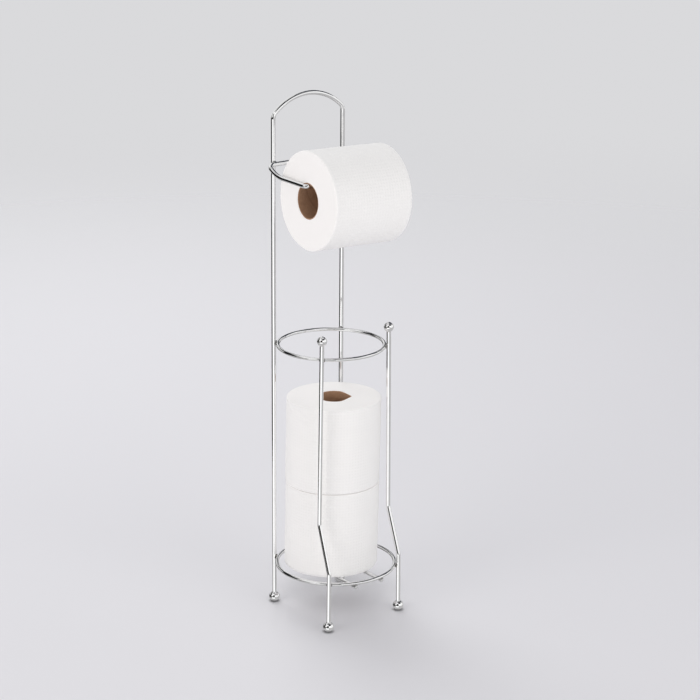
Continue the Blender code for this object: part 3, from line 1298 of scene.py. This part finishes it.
@dataclass
class TissueRoll:
    """A full roll: wound tissue whose outer sheet ends in a tail, on a board core."""

    name: str
    body: str
    radius: float
    centre: Vector
    axis: Vector
    length: float = 0.101
    core_radius: float = 0.0203
    core_wall: float = 0.0011
    edge_radius: float = 0.0012
    tail_turn: float = 0.0
    tail_step: float = 0.0003
    tail_lift: float = 0.0005
    tail_reach: float = math.radians(9)
    fullness: float = 0.0003
    lean: tuple[float, float] = (0.0, 0.0)
    softness: float = 0.00035
    softness_scale: float = 38.0
    finer_waves: float = 0.4
    finer_scale: float = 3.0
    fray_least: float = 0.0002
    fray_more: float = 0.00035
    fray_scale: float = 420.0
    board_ease: float = 0.3
    paper_sharp: float = math.radians(60)
    board_sharp: float = math.radians(50)
    creases: Sequence[Crease] = ()
    pinches: Sequence[Pinch] = ()
    steps: int = 240
    side_rows: int = 46
    end_rows: int = 9
    bore_rows: int = 24

    def placing(self) -> Matrix:
        """The roll's own frame, its axis on Z and the tail's edge on X, with its winding's lean."""
        slip = Matrix.Shear("XY", 4, self.lean)
        return turned_to(self.centre, self.axis) @ slip @ Matrix.Rotation(self.tail_turn, 4, "Z")

    def build(self) -> Iterator[Object]:
        """Wind the roll and its core.

        Returns:
            The paper, then the core.
        """
        paper = Dressing(self.body, "tissue", [TISSUE.material(self)], self.paper_sharp)
        yield paper.piece(f"{self.name}_tissue", self._wind_paper(), [f"{self.name}_paper"])
        core = Dressing(self.body, "core_board", [BOARD.material(self)], self.board_sharp)
        yield core.piece(f"{self.name}_board", self._roll_core(), [f"{self.name}_core"])

    def _section(self, bm: BMesh, inner: float, outer: float, ease: float) -> None:
        """Draw half of a tube's section in the XZ plane, its corners eased.

        Args:
            bm: The mesh that takes it.
            inner: The bore's radius.
            outer: The outside radius.
            ease: Radius of the outside corners.
        """
        half = self.length / 2
        corners = [(inner, half), (inner, -half), (outer, -half), (outer, half)]
        verts = [bm.verts.new((x, 0, z)) for x, z in corners]
        for vert, after in zip(verts, verts[1:] + verts[:1]):
            bm.edges.new((vert, after))
        bmesh.ops.bevel(
            bm,
            geom=verts[2:],
            offset=ease,
            affect="VERTICES",
            segments=4,
            profile=0.5,
            material=-1,
        )

    def _divide(self, bm: BMesh, reach: float, rows: int) -> None:
        """Cut the section's edges at a radius, each so many times."""
        upright = [e for e in bm.edges if all(abs(v.co.x - reach) < TOUCHING for v in e.verts)]
        bmesh.ops.subdivide_edges(bm, edges=upright, cuts=rows)

    def _wind_paper(self) -> BMesh:
        """Spin the paper's section, and step its outer sheet at the tail.

        Returns:
            The paper's mesh, in place.
        """
        bm = bmesh.new()
        bm.loops.layers.uv.new("surface")
        bm.verts.layers.float.new("on_end")
        self._section(bm, self.core_radius, self.radius, self.edge_radius)
        ends = [e for e in bm.edges if abs(e.verts[0].co.z - e.verts[1].co.z) < TOUCHING]
        bmesh.ops.subdivide_edges(bm, edges=ends, cuts=self.end_rows)
        self._divide(bm, self.radius, self.side_rows)
        self._divide(bm, self.core_radius, self.bore_rows)
        first = list(bm.verts)
        last = only(BMVert, turned_round(bm, self.steps, False))
        turns = {vert: turn_of(vert.co) for vert in bm.verts}
        turns.update(dict.fromkeys(first, 0.0))
        turns.update(dict.fromkeys(last, math.tau))
        self._map(bm, turns)
        for vert, turn in turns.items():
            self._soften(vert, turn)
        self._pinch(bm)
        bmesh.ops.remove_doubles(bm, verts=bm.verts, dist=TOUCHING)
        step = [edge for edge in bm.edges if edge.is_boundary]
        bmesh.ops.holes_fill(bm, edges=step, sides=0)
        bmesh.ops.triangulate(bm, faces=[face for face in bm.faces if len(face.verts) > 4])
        return settled(bm, self.placing())

    def _map(self, bm: BMesh, turns: dict) -> None:
        """Lay out the surface: U in turns round the roll, V in metres along its section.

        Args:
            bm: The paper's mesh, about its own axis.
            turns: Each vertex's angle.
        """
        uv = bm.loops.layers.uv["surface"]
        on_end = bm.verts.layers.float["on_end"]
        half = self.length / 2
        for vert in bm.verts:
            inward = (self.radius - vert.co.xy.length) / self.edge_radius
            level = (half - abs(vert.co.z)) / self.edge_radius
            vert[on_end] = held(0.5 + (inward - level) / 2)
        for face in bm.faces:
            for loop in face.loops:
                co = loop.vert.co
                loop[uv].uv = (turns[loop.vert] / math.tau, co.z + co.xy.length)

    def _soften(self, vert: BMVert, turn: float) -> None:
        """Move a point of the side as the outer sheet lies: its step, lift, waves and creases.

        Args:
            vert: The point, about the roll's own axis.
            turn: Its angle from the tail.
        """
        reach = vert.co.xy.length
        outer = held((reach - self.radius + self.edge_radius) / self.edge_radius)
        if outer <= 0:
            return
        lifting = held((turn - math.tau + self.tail_reach) / self.tail_reach)
        growth = self.fullness + self.tail_step * (turn / math.tau - 0.5)
        growth += self.tail_lift * lifting**2
        place = vert.co * self.softness_scale
        waves = noise.noise(place) + self.finer_waves * noise.noise(place * self.finer_scale)
        growth += self.softness * waves
        for crease in self.creases:
            growth -= crease.sunk(turn, vert.co.z, self.radius)
        scale = 1 + growth * outer / reach
        vert.co.xy *= scale

    def _pinch(self, bm: BMesh) -> None:
        """Press the mouth of the bore or of the core out of round.

        Args:
            bm: The paper's or core's mesh, about its own axis.
        """
        for pinch in self.pinches:
            for vert in bm.verts:
                pinch.press(vert, self.core_radius, self.length / 2)

    def _roll_core(self) -> BMesh:
        """Spin the core's section, and fray its cut ends a little.

        Returns:
            The core's mesh, in place.
        """
        bm = bmesh.new()
        uv = bm.loops.layers.uv.new("surface")
        bore = self.core_radius - self.core_wall
        self._section(bm, bore, self.core_radius, self.core_wall * self.board_ease)
        self._divide(bm, bore, self.bore_rows)
        self._divide(bm, self.core_radius, self.bore_rows)
        turned_round(bm, self.steps // 2, False)
        for face in bm.faces:
            middle_turn = turn_of(face.calc_center_median())
            for loop in face.loops:
                turn = turn_of(loop.vert.co)
                turn -= round((turn - middle_turn) / math.tau) * math.tau
                loop[uv].uv = (turn / math.tau, loop.vert.co.z)
        for vert in bm.verts:
            if abs(vert.co.z) > self.length / 2 - self.core_wall:
                fray = self.fray_more * abs(noise.noise(vert.co * self.fray_scale))
                vert.co.z -= math.copysign(self.fray_least + fray, vert.co.z)
        self._pinch(bm)
        return settled(bm, self.placing())


# Studio


@dataclass
class Viewpoint:
    """The camera, where the photograph was taken from."""

    eye: tuple[float, float, float] = (-1.43841, -1.83837, 1.03146)
    azimuth: float = math.radians(-37.8357)
    elevation: float = math.radians(17.0395)
    roll: float = math.radians(0.3054)
    sensor_width: float = 36.0
    lens: float = 110.48
    shift_x: float = 0.02683

    def build(self) -> Iterator[Object]:
        """Set up the camera.

        Returns:
            The camera.
        """
        data = bpy.data.cameras.new("photograph")
        data.sensor_width = self.sensor_width
        data.lens = self.lens
        data.shift_x = self.shift_x
        camera = bpy.data.objects.new("photograph", data)
        aim = Matrix.Rotation(self.azimuth, 4, "Z")
        aim @= Matrix.Rotation(math.pi / 2 - self.elevation, 4, "X")
        aim @= Matrix.Rotation(self.roll, 4, "Z")
        camera.matrix_world = Matrix.Translation(self.eye) @ aim
        bpy.context.scene.collection.objects.link(camera)
        bpy.context.scene.camera = camera
        yield camera


@dataclass(frozen=True)
class Patch:
    """A soft-edged patch of the studio that bright metal mirrors."""

    azimuth: float
    elevation: float
    half_width: float
    half_height: float
    colour: Colour
    soft: float = 3.0


@dataclass(frozen=True)
class Lamp:
    """A broad soft lamp that faces the holder."""

    name: str
    place: tuple[float, float, float]
    size: float
    power: float
    colour: Colour

    def build(self, aim: Vector) -> Object:
        """Hang the lamp.

        Args:
            aim: The point that it faces.

        Returns:
            The lamp, which bright metal doesn't mirror.
        """
        data = bpy.data.lights.new(self.name, "AREA")
        data.shape = "DISK"
        data.size = self.size
        data.energy = self.power
        data.color = self.colour
        lamp = bpy.data.objects.new(self.name, data)
        facing = (aim - Vector(self.place)).to_track_quat("-Z", "Y")
        lamp.matrix_world = Matrix.Translation(self.place) @ facing.to_matrix().to_4x4()
        lamp.visible_glossy = False
        bpy.context.scene.collection.objects.link(lamp)
        return lamp


def staged(name: str, bm: BMesh, material: Material, *hidden: str) -> Object:
    """Make a piece of the stage, which isn't part of the holder.

    Args:
        name: Its name.
        bm: Its mesh, in place.
        material: What it is made of.
        hidden: The kinds of ray that don't meet it.

    Returns:
        The piece.
    """
    piece = mesh_object(name, bm, [material])
    for kind in hidden:
        setattr(piece, f"visible_{kind}", False)
    return piece


@dataclass
class Studio:
    """The floor, the lamps and the surroundings."""

    ambient: Colour = (0.60, 0.60, 0.615)
    backdrop: Colour = (0.70, 0.70, 0.715)
    mirrored: Colour = grey(0.62)
    mirrored_floor: Colour = (0.50, 0.495, 0.50)
    mirrored_skirting: tuple[float, float] = (-3.0, -8.0)
    floor_size: float = 7.0
    foot_shade: tuple[float, float] = (0.0088, 0.7)
    store_shade: tuple[float, float] = (0.09, 0.24)
    store_shade_middle: tuple[float, float] = (0.035, 0.04)
    shade_height: float = 0.0002
    card_place: tuple[float, float, float] = (-0.04, 0.20, 0.665)
    card_size: tuple[float, float] = (0.21, 0.19)
    lamp_aim: Vector = field(default_factory=lambda: Vector((0, 0, 0.3)))
    lamps: Sequence[Lamp] = (
        Lamp("left_light", (-2.88, -0.3, 0.8), 2.2, 29.5, (1.0, 0.965, 0.935)),
        Lamp("front_light", (0.3, -2.7, 0.7), 2.4, 25.5, (1.0, 0.985, 0.965)),
        Lamp("high_light", (0.5, 2.0, 2.3), 2.2, 31.0, (1.0, 1.0, 1.0)),
    )
    patches: Sequence[Patch] = (
        Patch(316, 14, 38, 23, grey(0.95)),
        Patch(214, -18, 32, 14, grey(1.3)),
        Patch(182, 25, 38, 36, grey(0.92)),
        Patch(262, 20, 20, 16, grey(1.2)),
        Patch(212, 49, 26, 12, grey(1.1)),
        Patch(100, -12, 72, 7.5, (0.02, 0.018, 0.016), soft=1.5),
        Patch(203, 0.5, 43, 8.5, (0.03, 0.028, 0.025)),
        Patch(93, 34, 32, 12, (0.01, 0.01, 0.012)),
        Patch(137, 15, 20, 27, grey(0.01)),
        Patch(283, 58, 40, 23, (0.01, 0.01, 0.015)),
        Patch(208, 76, 42, 12, grey(0.10)),
        Patch(222, 17, 20, 23, grey(0.01)),
        Patch(60, -45, 20, 12, (0.18, 0.17, 0.165)),
        Patch(119, -26, 9, 6, grey(0.15)),
        Patch(60, 16, 8.5, 18, grey(0.92)),
        Patch(43, 27, 9.5, 26, (0.01, 0.015, 0.03)),
        Patch(15, 49, 33, 26, (0.01, 0.015, 0.03)),
    )

    def build(self) -> Iterator[Object]:
        """Lay the floor, light it and set the surroundings.

        Returns:
            The floor, the shades on it, the card and the lamps.
        """
        self._set_world()
        yield self._lay_floor()
        yield self._shade_floor()
        yield self._stand_card()
        for lamp in self.lamps:
            yield lamp.build(self.lamp_aim)

    def _lay_floor(self) -> Object:
        """Lay the pale floor, which bright metal doesn't mirror.

        Returns:
            The floor.
        """
        bm = bmesh.new()
        bmesh.ops.create_grid(bm, x_segments=4, y_segments=4, size=self.floor_size / 2)
        return staged("floor", bm, FLOOR.material(), "glossy")

    def _shade_floor(self) -> Object:
        """Lay the shades on the floor: under the feet that show, and under the store.

        Returns:
            The shades, which cast neither light nor shadow.
        """
        u = Uprights()
        feet = [u.leg(Side.LEFT, self.shade_height)]
        feet += [u.post(side, u.foot_advance, self.shade_height) for side in Side]
        shades = [(foot, self.foot_shade) for foot in feet]
        middle = Vector((*self.store_shade_middle, self.shade_height / 2))
        shades.append((middle, self.store_shade))
        bm = bmesh.new()
        nearness = bm.verts.layers.float.new("nearness")
        strength = bm.verts.layers.float.new("strength")
        for place, (radius, depth) in shades:
            disc = bmesh.ops.create_circle(
                bm,
                cap_ends=True,
                cap_tris=True,
                radius=radius,
                segments=32,
                matrix=Matrix.Translation(place),
            )
            for vert in disc["verts"]:
                vert[nearness] = 1 - (vert.co - place).length / radius
                vert[strength] = depth
        return staged("floor_shades", bm, SHADE.material(), "diffuse", "shadow")

    def _stand_card(self) -> Object:
        """Stand a glowing white card behind the arm, which only bright metal mirrors: a painted
        reflection.

        Returns:
            The card.
        """
        bm = bmesh.new()
        shape = Matrix.Rotation(math.pi / 2, 4, "X") @ Matrix.Diagonal((*self.card_size, 1, 1))
        place = Matrix.Translation(self.card_place)
        bmesh.ops.create_grid(bm, x_segments=1, y_segments=1, size=0.5, matrix=place @ shape)
        hidden = ("camera", "diffuse", "transmission", "shadow")
        return staged("glowing_white_card", bm, GLOWING_CARD.material(), *hidden)

    def _set_world(self) -> None:
        """Give the surroundings to diffuse, camera and mirror rays."""
        world = bpy.data.worlds.new("surroundings")
        world.use_nodes = True
        bpy.context.scene.world = world
        bench = ShaderBench(world.node_tree)
        rays = bench.add("ShaderNodeLightPath").outputs
        seen, glossy, through = (Field(bench, rays[kind.value]) for kind in RayKind)
        colour = bench.mixed(seen, self.ambient, self.backdrop)
        colour = bench.mixed(glossy.larger(through), colour, self._mirrored_room(bench))
        background = bench.add("ShaderNodeBackground", None, {"Color": colour, "Strength": 1.0})
        bench.add("ShaderNodeOutputWorld", None, {"Surface": background.outputs["Background"]})

    def _mirrored_room(self, bench: ShaderBench) -> NodeSocket:
        """What bright metal mirrors: a pale room with lighter and darker patches, over the floor.

        Args:
            bench: The world's node bench.

        Returns:
            The colour's socket.
        """
        direction = bench.place("Generated")
        x, y, z = bench.parts(direction)
        level = x.math("SQRT", x * x + y * y)
        elevation = x.math("ARCTAN2", z, level) * DEGREES
        floor_share = elevation.ramped(*self.mirrored_skirting)
        colour = bench.mixed(floor_share, self.mirrored, self.mirrored_floor)
        for patch in self.patches:
            ahead = Matrix.Rotation(math.radians(patch.azimuth), 3, "Z") @ RIGHT
            forward, aside = bench.along(direction, ahead), bench.along(direction, UP.cross(ahead))
            bearing = x.math("ARCTAN2", aside, forward) * DEGREES
            edge = patch.soft / 2
            width, height = patch.half_width, patch.half_height
            across = bearing.size().ramped(width + edge, width - edge)
            upright = (elevation - patch.elevation).size().ramped(height + edge, height - edge)
            colour = bench.mixed(across * upright, colour, patch.colour)
        return colour


# The holder


@dataclass(frozen=True)
class Spare:
    """Where a spare roll stands in the store, and how it has been handled."""

    name: str
    offset: float
    height: float
    fullness: float
    creases: Sequence[Crease] = ()
    pinches: Sequence[Pinch] = ()


@dataclass
class Holder:
    """The whole toilet roll holder, with its rolls."""

    uprights: Uprights = field(default_factory=Uprights)
    lower_ring_height: float = 0.0564
    upper_ring_height: float = 0.3196
    finial_ball: float = 0.0056
    hung_radius: float = 0.0549
    hung_tail_turn: float = math.radians(60)
    spare_radius: float = 0.0543
    spare_tail_turn: float = math.radians(80)
    spare_lean: tuple[float, float] = (0.013, -0.010)
    roll_length: float = 0.101
    core_bore: float = 0.0191
    spares: Sequence[Spare] = (
        Spare("lower_spare", 0.0018, 0.1049, 0.0001),
        Spare(
            "upper_spare",
            0.0033,
            0.2062,
            0.0004,
            (
                Crease((1.78, 0.043), (2.10, 0.0352), 0.0014),
                Crease((1.50, 0.0495), (1.70, 0.0446), 0.0011),
            ),
            (Pinch(math.radians(-117.8)),),
        ),
    )

    def __post_init__(self) -> None:
        """Mix the metal's finishes."""
        chrome = CHROME.material()
        self.wires = Dressing("stand", "chrome_wire", [chrome])
        self.balls = Dressing("stand", "chrome_ball", [chrome])
        self.rests = Dressing("stand", "chrome_wire", [RUBBED_CHROME.material()])
        self.welds = Dressing("stand", "chrome_wire", [BEAD.material()])

    def build(self) -> Iterator[Object]:
        """Make every piece, in the order that the holder is put together.

        Returns:
            The pieces, one by one.
        """
        yield Hoop(self.uprights).build(self.wires)
        for side in Side:
            yield from self._build_side(side)
        yield from self._build_store()
        arm = Arm(self.uprights, self.roll_length, self.core_bore)
        yield from self._build_arm(arm)
        hung = TissueRoll(
            "hung_roll",
            "hung_roll",
            self.hung_radius,
            arm.roll_centre,
            arm.direction,
            length=self.roll_length,
            tail_turn=self.hung_tail_turn,
        )
        yield from hung.build()
        for spare in self.spares:
            yield from self._spare_roll(spare).build()

    def _build_side(self, side: Side) -> Iterator[Object]:
        """Make a front post, its finial, and the two feet on its side.

        Args:
            side: Which side.

        Returns:
            The pieces, one by one.
        """
        u = self.uprights
        word = side.word
        yield FrontPost(u, side).build(self.wires)
        top = u.post(side, u.post_advance, u.finial_height)
        down = (u.post(side, u.post_advance, u.finial_height / 2) - top).normalized()
        finial = Ball(f"{word}_finial_ball", f"{word}_finial", self.finial_ball, u.wire, top, down)
        yield finial.build(self.balls)
        front = u.post(side, u.foot_advance, u.foot_height)
        for where, place in (("front", front), ("rear", u.leg(side, u.foot_height))):
            node = f"{word}_{where}_foot"
            foot = Ball(f"{node}_ball", node, u.foot_ball, u.wire, place, UP, u.foot_flat)
            yield foot.build(self.balls)

    def _build_store(self) -> Iterator[Object]:
        """Make the two rings and the rest wires, and weld them.

        Returns:
            The pieces, one by one.
        """
        u = self.uprights
        upper = WireRing(u, "upper_ring_wire", "upper_ring", self.upper_ring_height, u.post_advance)
        lower = WireRing(u, "lower_ring_wire", "lower_ring", self.lower_ring_height, u.foot_advance)
        for ring in (upper, lower):
            yield ring.build(self.wires)
            beads = WeldBeads(f"{ring.node}_welds")
            ring.weld(beads)
            yield beads.build(self.welds)
        beads = WeldBeads("rest_welds", length=0.0024, width=0.0023, thickness=0.0018)
        for side in Side:
            rest = RestWire(lower, side)
            yield rest.build(self.rests)
            rest.weld(beads)
        yield beads.build(self.welds)

    def _build_arm(self, arm: Arm) -> Iterator[Object]:
        """Make the arm, its ball and its welds.

        Args:
            arm: The arm.

        Returns:
            The pieces, one by one.
        """
        yield arm.build(self.wires)
        yield arm.end_ball().build(self.balls)
        beads = WeldBeads("crossbar_welds")
        arm.weld(beads)
        yield beads.build(self.welds)

    def _spare_roll(self, spare: Spare) -> TissueRoll:
        """A spare roll, standing in the store.

        Args:
            spare: Which one.

        Returns:
            The roll.
        """
        return TissueRoll(
            spare.name,
            f"{spare.name}_roll",
            self.spare_radius,
            Vector((spare.offset, CENTRING_Y, spare.height)),
            UP,
            length=self.roll_length,
            tail_turn=self.spare_tail_turn,
            fullness=spare.fullness,
            lean=self.spare_lean,
            creases=spare.creases,
            pinches=spare.pinches,
        )


def main() -> None:
    """Build the holder, the studio and the camera in order, and report each piece."""
    logging.basicConfig(level=logging.INFO, format="%(name)s: %(message)s")
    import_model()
    bpy.context.scene.view_settings.view_transform = "Standard"
    for assembly in (Holder(), Studio(), Viewpoint()):
        for piece in assembly.build():
            faces = len(piece.data.polygons) if piece.type == "MESH" else 0
            LOG.info("%s made %s: %d faces", type(assembly).__name__, piece.name, faces)


if __name__ == "__main__":
    main()
